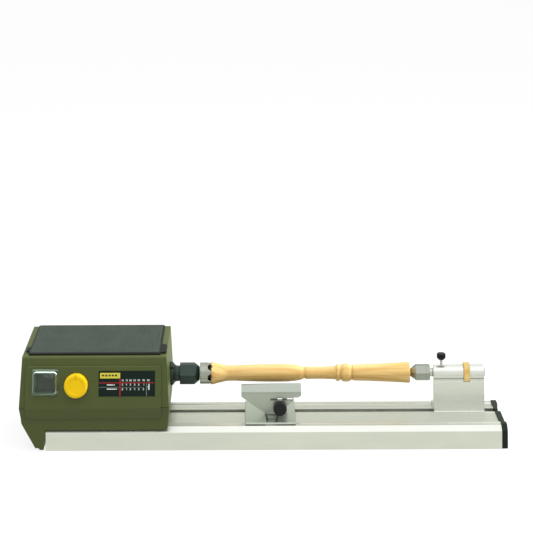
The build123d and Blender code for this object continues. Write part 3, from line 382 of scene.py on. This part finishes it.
# splash cover: clear, faintly green, slightly hazy
cv = Mat("clear_cover", (0.62, 0.80, 0.66), 0.045, 0.0, 0.5).bevel(0.0006)
cv.vary(0.03, (200, 200, 200)).rvary(0.02, (260, 260, 260))
cv.bump(cv.noise((260, 260, 260), 2.0), 0.06, 0.0002)
cv.done()
cv.b.inputs["Transmission Weight"].default_value = 1.0
cv.b.inputs["IOR"].default_value = 1.46
M["cover"] = cv.m


def use(mat, *names):
    for n in names:
        o = NODES[n]
        if not o.material_slots:
            o.data.materials.append(None)
        for s in o.material_slots:
            s.link = "OBJECT"
            s.material = mat


use(M["olive"], "housing_lower_shell", "housing_upper_shell", "front_control_panel")
use(M["bed"], "bed_extrusion")
use(M["tail"], "tailstock_body")
use(M["rest"], "rest_cross_slide", "tool_rest_blade")
use(M["plate"], "rest_base_plate")
use(M["cast"], "bearing_block", "spindle_pulley", "motor_pulley")
use(M["zinc"], "end_cap_screws", "housing_screws", "headstock_mount_screws", "board_screws", "motor_bracket", "motor_screws",
    "bearing_block_screws", "switch_pivot_pin", "rest_t_nut", "rest_clamp_bolt", "rest_clamp_washer", "rest_clamp_nut",
    "tailstock_clamp_screws", "tailstock_t_nut", "quill_lock_screw")
use(M["bearing"], "front_bearing", "rear_bearing", "live_centre_bearing")
use(M["polished"], "collet", "motor_shaft", "tailstock_quill", "live_centre_arbor")
use(M["driver"], "drive_centre")
use(M["centre"], "live_centre_point")
use(M["oxide"], "spindle_shaft", "collet_nut")
use(M["brass"], "quill_adjusting_nut")
use(M["black"], "switch_body", "switch_rocker", "speed_potentiometer", "rest_clamp_knob", "quill_lock_knob")
use(M["cap"], "bed_end_cap")
use(M["rubber"], "cord_strain_relief", "power_cord")
use(M["belt"], "drive_belt")
use(M["motor"], "motor_body")
use(M["board"], "control_board")
use(M["knob"], "speed_knob")
use(M["mat"], "tool_tray_mat")
use(M["wood"], "workpiece_spindle")
use(M["label"], "label_plate")
use(M["cover"], "switch_splash_cover")


# ------------------------------------------------------------------ piece helpers
def new_obj(name, verts, faces, mat, smooth=None):
    me = bpy.data.meshes.new(name)
    me.from_pydata([tuple(v) for v in verts], [], [tuple(f) for f in faces])
    me.update()
    bm = bmesh.new()
    bm.from_mesh(me)
    bmesh.ops.recalc_face_normals(bm, faces=bm.faces)
    bm.to_mesh(me)
    bm.free()
    o = bpy.data.objects.new(name, me)
    scene.collection.objects.link(o)
    me.materials.append(mat)
    if smooth is not None:
        for p in me.polygons:
            p.use_smooth = True
        me.set_sharp_from_angle(angle=math.radians(smooth))
    return o


def revolve_x(name, pts, mat, seg=128, axis_z=AX, smooth=35):
    """Closed solid of revolution about the spindle axis; pts are (x, r) in metres, first and last on the axis."""
    verts, faces, rings = [], [], []
    for x, r in pts:
        if r < 1e-7:
            rings.append([len(verts)])
            verts.append((x, 0, axis_z))
        else:
            ring = []
            for i in range(seg):
                a = 2 * math.pi * i / seg
                ring.append(len(verts))
                verts.append((x, r * math.cos(a), axis_z + r * math.sin(a)))
            rings.append(ring)
    for a, b in zip(rings[:-1], rings[1:]):
        for i in range(seg):
            j = (i + 1) % seg
            if len(a) == 1 and len(b) == 1:
                continue
            if len(a) == 1:
                faces.append((a[0], b[i], b[j]))
            elif len(b) == 1:
                faces.append((a[i], b[0], a[j]))
            else:
                faces.append((a[i], b[i], b[j], a[j]))
    return new_obj(name, verts, faces, mat, smooth)


def pchip(pts, step):
    """Monotone cubic through (x, r) points, sampled every step."""
    x = np.array([p[0] for p in pts], float)
    y = np.array([p[1] for p in pts], float)
    h = np.diff(x)
    d = np.diff(y) / h
    m = np.zeros(len(x))
    for i in range(1, len(x) - 1):
        if d[i - 1] * d[i] > 0:
            w1, w2 = 2 * h[i] + h[i - 1], h[i] + 2 * h[i - 1]
            m[i] = (w1 + w2) / (w1 / d[i - 1] + w2 / d[i])
    m[0], m[-1] = d[0], d[-1]
    out = []
    for i in range(len(h)):
        k = max(1, int(round(h[i] / step)))
        for j in range(k):
            t = j / k
            t2, t3 = t * t, t * t * t
            out.append((x[i] + t * h[i], (2 * t3 - 3 * t2 + 1) * y[i] + (t3 - 2 * t2 + t) * h[i] * m[i] + (-2 * t3 + 3 * t2) * y[i + 1] + (t3 - t2) * h[i] * m[i + 1]))
    out.append((x[-1], y[-1]))
    return out


# ------------------------------------------------------------------ turned workpiece
mm = 0.001
seg_a = pchip([(-68.45, 11.5), (-67.7, 11.9), (-66.6, 11.85), (-64.6, 11.4), (-61.9, 10.65), (-57.6, 9.7), (-54, 8.85), (-51, 8.3), (-47, 8.15), (-44, 8.15), (-36, 8.4), (-26, 8.8),
               (-14, 9.15), (-4, 9.35), (6, 9.4), (15, 9.25), (22, 8.8), (28, 8.0), (32, 7.0), (34.7, 5.5)], 0.9)
seg_b = pchip([(35.0, 5.5), (36.3, 6.5), (38, 6.7), (46, 6.5), (56, 6.55), (66, 7.0), (69.4, 7.15)], 0.7)
seg_c = pchip([(69.8, 7.6), (70.4, 8.6), (71.6, 9.1), (72.8, 9.0), (73.8, 8.3), (74.8, 7.55), (75.4, 7.5), (76.1, 8.2), (77.4, 9.2), (79.6, 9.6), (82.4, 9.6), (84.8, 9.1), (86.4, 8.3), (87.5, 7.4)], 0.25)
seg_d = pchip([(87.9, 7.4), (88.5, 8.3), (90, 8.45), (100, 8.75), (112, 9.2), (126, 9.8), (138, 10.4), (148, 11.0), (150.9, 11.15), (151.45, 10.9), (151.6, 10.4)], 0.7)
profile = [(-71.9, 0.0), (-71.9, 4.0), (-71.9, 7.9), (-71.0, 8.2), (-69.1, 8.3), (-69.0, 9.0), (-68.55, 10.8)] + seg_a + seg_b + seg_c + seg_d + [(151.6, 7.0), (151.6, 3.6), (148.0, 0.0)]
prof2, last = [], None
for x, r in profile:
    if last is None or abs(x - last[0]) + abs(r - last[1]) > 0.02:
        prof2.append((x * mm, r * mm))
        last = (x, r)
wood = revolve_x("turned_workpiece", prof2, M["wood"], 144, AX, 30)
# tool marks and a torn edge where the driver's teeth bite
me = wood.data
for v in me.vertices:
    x = v.co.x / mm
    r = math.hypot(v.co.y, v.co.z - AX)
    if r < 1e-6:
        continue
    a = math.atan2(v.co.z - AX, v.co.y)
    s = 1.0
    if x > -68.3 and x < 151.0:
        s += 0.0022 * math.sin(x * 2.4) + 0.0016 * math.sin(x * 0.83 + 1.3)
    if x < -65.5 and r > 0.009:
        k = (-65.5 - x) / 3.1
        bite = max(0.0, math.sin(6 * (a - math.radians(-9.0)))) ** 2
        v.co.x += (1.3 * bite + 0.35 * math.sin(31 * a) + 0.2 * math.sin(53 * a + 1)) * k * mm
        s += 0.010 * k * math.sin(23 * a + 1.0) - 0.02 * k * bite
    v.co.y *= s
    v.co.z = AX + (v.co.z - AX) * s
me.update()
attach(wood, "spindle")
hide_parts("workpiece_spindle")

# ------------------------------------------------------------------ pimpled tray mat
lo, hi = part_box("tool_tray_mat")
mx0, mx1, my0, my1, mz0 = -0.2652, -0.122, -0.054, 0.0526, lo.z
top = 0.1020


def rounded(poly, n=6):
    """Outline with rounded corners: poly is (x, y, r)."""
    out = []
    k = len(poly)
    for i in range(k):
        c = Vector(poly[i][:2])
        r = poly[i][2]
        a, b = Vector(poly[i - 1][:2]), Vector(poly[(i + 1) % k][:2])
        ua, ub = (a - c).normalized(), (b - c).normalized()
        th = ua.angle(ub)
        if r <= 0 or th > math.pi - 0.02:
            out.append(tuple(c))
            continue
        d = min(r / math.tan(th / 2), 0.45 * (a - c).length, 0.45 * (b - c).length)
        rr = d * math.tan(th / 2)
        cen = c + (ua + ub).normalized() * (rr / math.sin(th / 2))
        p1, p2 = c + ua * d - cen, c + ub * d - cen
        a1, a2 = math.atan2(p1.y, p1.x), math.atan2(p2.y, p2.x)
        da = (a2 - a1 + math.pi) % (2 * math.pi) - math.pi
        for j in range(n + 1):
            t = a1 + da * j / n
            out.append((cen.x + rr * math.cos(t), cen.y + rr * math.sin(t)))
    return out


outline = rounded([
    (mx0, my0, 0.0030), (mx1, my0, 0.0030), (mx1, -0.0500, 0), (mx1 + 0.0057, -0.0490, 0.0012), (mx1 + 0.0057, -0.0225, 0.0020), (mx1, -0.0195, 0.001),
    (mx1, my1, 0.0030), (mx0, my1, 0.0030), (mx0, -0.0290, 0.001), (mx0 - 0.0035, -0.0312, 0.0012), (mx0 - 0.0035, -0.0428, 0.0012), (mx0, -0.0445, 0.001)])
# layered slab with a softened top edge
n = len(outline)
cx, cy = (mx0 + mx1) / 2, (my0 + my1) / 2
verts, faces = [], []
def inset(p, i, d):
    a, b = Vector(outline[i - 1]), Vector(outline[(i + 1) % n])
    t = (b - a).normalized()
    return (p[0] - t.y * d, p[1] + t.x * d)
layers = [(0.0, mz0), (0.0, top - 0.0005), (0.00015, top - 0.0002), (0.0005, top)]
for d, z in layers:
    for i, p in enumerate(outline):
        q = inset(p, i, d)
        verts.append((q[0], q[1], z))
for L in range(len(layers) - 1):
    for i in range(n):
        j = (i + 1) % n
        faces.append((L * n + i, L * n + j, (L + 1) * n + j, (L + 1) * n + i))
faces.append(tuple(range(n - 1, -1, -1)))
faces.append(tuple((len(layers) - 1) * n + i for i in range(n)))
px, py, hgt = 0.00262, 0.00235, 0.00040
row = 0
y = my0 + 0.0042
while y < my1 - 0.0022:
    x = mx0 + 0.0020 + (px / 2 if row % 2 else 0.0)
    while x < mx1 - 0.0014:
        b = len(verts)
        for (w, l, z) in ((0.00062, 0.00092, top - 0.00012), (0.00056, 0.00086, top + hgt * 0.7), (0.00040, 0.00070, top + hgt)):
            k = 0.00050 * (1 if row % 2 else -1)
            verts += [(x - w - k, y - l, z), (x + w - k, y - l, z), (x + w + k, y + l, z), (x - w + k, y + l, z)]
        faces.append((b + 3, b + 2, b + 1, b))
        for L in (0, 4):
            for i in range(4):
                j = (i + 1) % 4
                faces.append((b + L + i, b + L + j, b + L + 4 + j, b + L + 4 + i))
        faces.append((b + 8, b + 9, b + 10, b + 11))
        x += px
    y += py
    row += 1
me = bpy.data.meshes.new("pimpled_tray_mat")
me.from_pydata(verts, [], faces)
me.update()
mat_o = bpy.data.objects.new("pimpled_tray_mat", me)
scene.collection.objects.link(mat_o)
me.materials.append(M["mat"])
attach(mat_o, "bed_frame")
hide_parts("tool_tray_mat")

# ------------------------------------------------------------------ label print, laid on the sloping plate
lo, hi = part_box("label_plate")
slope = math.atan((67.9 - 62.0) / (90.6 - 46.6))
LX0, LX1, LZ0, LZ1 = lo.x, hi.x, lo.z, hi.z
# plate's front plane passes through its lowest front edge
FY0 = lo.y


def on_label(u, w, out=0.00004):
    """u, w run 0..1 across and up the plate's face; returns a point just proud of it."""
    z = LZ0 + w * (LZ1 - LZ0)
    yy = FY0 + (z - LZ0) * math.tan(slope)
    return Vector((LX0 + u * (LX1 - LX0), yy - out * math.cos(slope), z + out * math.sin(slope)))


def patch(name, quads, mat, thick=0.00003):
    """Thin printed areas as closed slabs; quads are (u0, w0, u1, w1) or lists of (u, w)."""
    verts, faces = [], []
    for q in quads:
        pts = [(q[0], q[1]), (q[2], q[1]), (q[2], q[3]), (q[0], q[3])] if not isinstance(q[0], tuple) else list(q)
        b, k = len(verts), len(pts)
        for p in pts:
            verts.append(on_label(p[0], p[1], 0.0))
        for p in pts:
            verts.append(on_label(p[0], p[1], thick))
        faces.append(tuple(b + i for i in range(k))[::-1])
        faces.append(tuple(b + k + i for i in range(k)))
        for i in range(k):
            j = (i + 1) % k
            faces.append((b + i, b + j, b + k + j, b + k + i))
    o = new_obj(name, verts, faces, mat)
    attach(o, "bed_frame")
    return o


patch("label_yellow_block", [(0.022, 0.715, 0.382, 0.935)], M["ink_yellow"])
patch("label_yellow_bar", [(0.056 + 0.058 * i, 0.795, 0.096 + 0.058 * i, 0.865) for i in range(5)], M["ink_dark"], 0.00005)
patch("label_red_rules", [(0.004, 0.520, 0.985, 0.550), (0.370, 0.02, 0.389, 0.520), (0.370, 0.550, 0.389, 0.70)], M["ink_red"])
patch("label_grey_rules", [(0.004, 0.352, 0.36, 0.372), (0.40, 0.352, 0.80, 0.368), (0.845, 0.02, 0.858, 0.505)], M["ink_grey"])

SEGS = {"0": "abcdef", "1": "bc", "2": "abged", "3": "abgcd", "4": "fgbc", "5": "afgcd", "6": "afgedc", "7": "abc", "8": "abcdefg", "9": "abcdfg"}


def digit(ch, u, w, du, dw, t):
    """Plain stroke numerals."""
    x0, x1, y0, y1, ym = u, u + du, w, w + dw, w + dw / 2
    tx = t
    ty = t * (LX1 - LX0) / (LZ1 - LZ0)
    r = {
        "a": (x0, y1 - ty, x1, y1), "d": (x0, y0, x1, y0 + ty), "g": (x0, ym - ty / 2, x1, ym + ty / 2),
        "f": (x0, ym, x0 + tx, y1), "b": (x1 - tx, ym, x1, y1), "e": (x0, y0, x0 + tx, ym), "c": (x1 - tx, y0, x1, ym)}
    return [r[s] for s in SEGS[ch]]


quads = []
cols = [0.425, 0.495, 0.567, 0.642, 0.716, 0.80, 0.885]
for c, txt in zip(cols, ["10", "15", "20", "25", "30", "40", "60"]):
    for k, ch in enumerate(txt):
        quads += digit(ch, c - 0.022 + 0.024 * k, 0.60, 0.018, 0.072, 0.0058)
for w0, row_txt in ((0.425, ["5", "4", "3", "3", "2", "1"]), (0.245, ["8", "7", "5", "4", "3", "2"])):
    for c, ch in zip(cols[:6], row_txt):
        quads += digit(ch, c - 0.012, w0, 0.020, 0.078, 0.0062)
# row names as plain bars, and a small bracket for the last column
quads += [(0.145, 0.435, 0.255, 0.475), (0.265, 0.435, 0.285, 0.475), (0.145, 0.27, 0.30, 0.31), (0.31, 0.27, 0.325, 0.31)]
quads += [(0.885, 0.25, 0.905, 0.49), (0.875, 0.34, 0.895, 0.40)]
patch("label_numerals", quads, M["ink_white"])

# ------------------------------------------------------------------ clear splash cover over the switch
lo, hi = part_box("switch_splash_cover")
CU, CV = (lo.x + hi.x) / 2, 0.0740
SFY = -0.0679 + (CV - 0.0466) * math.tan(slope)


def on_front(u, v, out):
    """u across, v up the sloping front from the switch's middle, out along its normal; millimetres."""
    c, sn = math.cos(slope), math.sin(slope)
    return (CU + u * mm, SFY + (v * sn - out * c) * mm, CV + (v * c + out * sn) * mm)


def round_rect(hx, hz, r, n=8):
    pts = []
    for cx0, cz0, a0 in ((hx - r, hz - r, 0), (-hx + r, hz - r, 90), (-hx + r, -hz + r, 180), (hx - r, -hz + r, 270)):
        for i in range(n + 1):
            t = math.radians(a0 + 90 * i / n)
            pts.append((cx0 + r * math.cos(t), cz0 + r * math.sin(t)))
    return pts


def shell(name, loops, mat, smooth=40):
    """Skin through matching loops of (half width, half height, corner radius, out), closed at both ends."""
    verts, faces = [], []
    for hx, hz, r, out in loops:
        verts += [on_front(u, v, out) for u, v in round_rect(hx, hz, r)]
    k = len(verts) // len(loops)
    for L in range(len(loops) - 1):
        for i in range(k):
            j = (i + 1) % k
            faces.append((L * k + i, L * k + j, (L + 1) * k + j, (L + 1) * k + i))
    faces.append(tuple(range(k)))
    faces.append(tuple((len(loops) - 1) * k + i for i in range(k)))
    return new_obj(name, verts, faces, mat, smooth)


cover = shell("clear_switch_cover", [
    (10.8, 9.9, 1.9, 4.35), (11.3, 10.4, 2.0, 4.1), (11.7, 10.8, 2.1, 1.75), (13.3, 12.3, 0.6, 1.6), (13.35, 12.35, 0.6, 0.06),
    (14.8, 13.8, 2.6, 0.06), (14.85, 13.85, 2.7, 0.7), (14.6, 13.6, 2.7, 1.6), (13.6, 12.7, 2.6, 2.2), (13.0, 12.1, 2.6, 2.6),
    (12.6, 11.7, 2.6, 4.2), (12.3, 11.4, 2.6, 4.95), (11.9, 11.0, 2.5, 5.3), (11.4, 10.5, 2.2, 5.3), (10.9, 10.0, 2.0, 4.95)], M["cover"])
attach(cover, "bed_frame")
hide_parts("switch_splash_cover")

# ------------------------------------------------------------------ stage, lights, camera
def floor():
    me = bpy.data.meshes.new("floor")
    s = 8.0
    me.from_pydata([(-s, -s, -0.0002), (s, -s, -0.0002), (s, s, -0.0002), (-s, s, -0.0002)], [], [(0, 1, 2, 3)])
    o = bpy.data.objects.new("floor", me)
    scene.collection.objects.link(o)
    m = bpy.data.materials.new("studio_floor")
    m.use_nodes = True
    nt = m.node_tree
    nt.nodes.clear()
    out = nt.nodes.new("ShaderNodeOutputMaterial")
    lp = nt.nodes.new("ShaderNodeLightPath")
    pale = nt.nodes.new("ShaderNodeBsdfDiffuse")
    pale.inputs[0].default_value = (0.95, 0.95, 0.945, 1)
    glow = nt.nodes.new("ShaderNodeEmission")
    glow.inputs[0].default_value = (1, 1, 1, 1)
    glow.inputs[1].default_value = 1.02
    seen = nt.nodes.new("ShaderNodeMixShader")
    seen.inputs[0].default_value = 0.80
    nt.links.new(pale.outputs[0], seen.inputs[1])
    nt.links.new(glow.outputs[0], seen.inputs[2])
    grey = nt.nodes.new("ShaderNodeBsdfDiffuse")
    grey.inputs[0].default_value = (0.42, 0.425, 0.40, 1)
    mix = nt.nodes.new("ShaderNodeMixShader")
    mirror = nt.nodes.new("ShaderNodeEmission")
    mirror.inputs[0].default_value = (0.92, 0.945, 0.84, 1)
    unseen = nt.nodes.new("ShaderNodeMixShader")
    nt.links.new(lp.outputs["Is Glossy Ray"], unseen.inputs[0])
    nt.links.new(grey.outputs[0], unseen.inputs[1])
    nt.links.new(mirror.outputs[0], unseen.inputs[2])
    nt.links.new(lp.outputs["Is Camera Ray"], mix.inputs[0])
    nt.links.new(unseen.outputs[0], mix.inputs[1])
    nt.links.new(seen.outputs[0], mix.inputs[2])
    nt.links.new(mix.outputs[0], out.inputs[0])
    me.materials.append(m)


floor()
w = bpy.data.worlds.new("studio")
scene.world = w
w.use_nodes = True
t = w.node_tree
bg = t.nodes["Background"]
tc = t.nodes.new("ShaderNodeTexCoord")
sp = t.nodes.new("ShaderNodeSeparateXYZ")
t.links.new(tc.outputs["Generated"], sp.inputs[0])


def sky(stops):
    r = t.nodes.new("ShaderNodeValToRGB")
    el = r.color_ramp.elements
    el[0].position, el[0].color = stops[0][0], (*stops[0][1], 1)
    el[1].position, el[1].color = stops[-1][0], (*stops[-1][1], 1)
    for p, c in stops[1:-1]:
        el.new(p).color = (*c, 1)
    t.links.new(sp.outputs["Z"], r.inputs[0])
    return r.outputs[0]


def blend(fac, a, b):
    m = t.nodes.new("ShaderNodeMix")
    m.data_type = "RGBA"
    t.links.new(fac, m.inputs[0])
    for i, x in ((6, a), (7, b)):
        if isinstance(x, tuple):
            m.inputs[i].default_value = (*x, 1)
        else:
            t.links.new(x, m.inputs[i])
    return m.outputs[2]


# mirrored surroundings: dim low behind, bright above and in front
back_sky = sky([(0.0, (0.17, 0.185, 0.165)), (0.14, (0.24, 0.26, 0.225)), (0.30, (0.80, 0.82, 0.68)), (0.6, (1.05, 1.08, 1.0)), (1.0, (1.25, 1.26, 1.24))])
front_sky = sky([(0.0, (0.95, 0.97, 0.88)), (0.5, (1.0, 1.02, 0.97)), (0.72, (1.45, 1.45, 1.44)), (1.0, (1.45, 1.45, 1.44))])
soft_sky = sky([(0.0, (0.34, 0.34, 0.33)), (0.5, (0.80, 0.80, 0.79)), (1.0, (1.0, 1.0, 1.0))])
side = t.nodes.new("ShaderNodeMapRange")
side.inputs[1].default_value, side.inputs[2].default_value = -0.2, 0.2
t.links.new(sp.outputs["Y"], side.inputs[0])
mirror = blend(side.outputs[0], front_sky, back_sky)
lp = t.nodes.new("ShaderNodeLightPath")
inner = blend(lp.outputs["Is Glossy Ray"], soft_sky, mirror)
t.links.new(blend(lp.outputs["Is Camera Ray"], inner, (1.0, 1.0, 1.0)), bg.inputs[0])
bg.inputs[1].default_value = 1.0


def area(name, loc, target, size, energy, size_y=None, colour=(1, 1, 1)):
    d = bpy.data.lights.new(name, "AREA")
    d.shape = "RECTANGLE"
    d.size = size
    d.size_y = size_y or size
    d.energy = energy
    d.color = colour
    o = bpy.data.objects.new(name, d)
    o.location = loc
    o.rotation_mode = "QUATERNION"
    o.rotation_quaternion = (Vector(target) - Vector(loc)).to_track_quat("-Z", "Y")
    scene.collection.objects.link(o)
    return o


for o, k in ((area("overhead_softbox", (0.05, -0.25, 1.25), (0, -0.02, 0.05), 1.5, 9.0, 0.9), 0), (area("right_softbox", (1.4, 0.15, 0.55), (-0.1, 0, 0.06), 0.7, 30.0, 0.7), 0),
             (area("front_fill", (-0.3, -2.2, 1.5), (0, 0, 0.06), 1.6, 8.5, 1.0), 0)):
    o.visible_glossy = bool(k)

cam_d = bpy.data.cameras.new("camera")
cam = bpy.data.objects.new("camera", cam_d)
scene.collection.objects.link(cam)
scene.camera = cam
CAM_Y = -2.0
cam.location = (-0.029, CAM_Y, 0.6941)
roll = math.radians(-0.26)
cam.rotation_mode = "XYZ"
cam.rotation_euler = (Matrix.Rotation(math.radians(90), 3, "X") @ Matrix.Rotation(roll, 3, "Z")).to_euler("XYZ")
cam_d.sensor_width = 36.0
cam_d.lens = 1800.0 / 533.0 * 36.0
cam_d.clip_start, cam_d.clip_end = 0.05, 50.0
# The photograph's frame is a crop below the optical axis, which the lens shift gives. The shift applies only at the
# main camera's place, so that any other view is centred.
for prop, value in (("shift_x", (266.5 - 247.0 + 2.77) / 533.0), ("shift_y", -(195.0 + 266.5) / 533.0)):
    drv = cam_d.driver_add(prop).driver
    drv.type = "SCRIPTED"
    v = drv.variables.new()
    v.name = "y"
    v.type = "SINGLE_PROP"
    v.targets[0].id_type = "OBJECT"
    v.targets[0].id = cam
    v.targets[0].data_path = "location[1]"
    drv.expression = f"{value:.6f} if abs(y + 2.0) < 0.0005 else 0.0"

scene.view_settings.view_transform = "Standard"
scene.view_settings.look = "None"
scene.view_settings.exposure = 0.0
scene.view_settings.gamma = 1.0
if hasattr(scene, "cycles"):
    scene.cycles.use_denoising = True
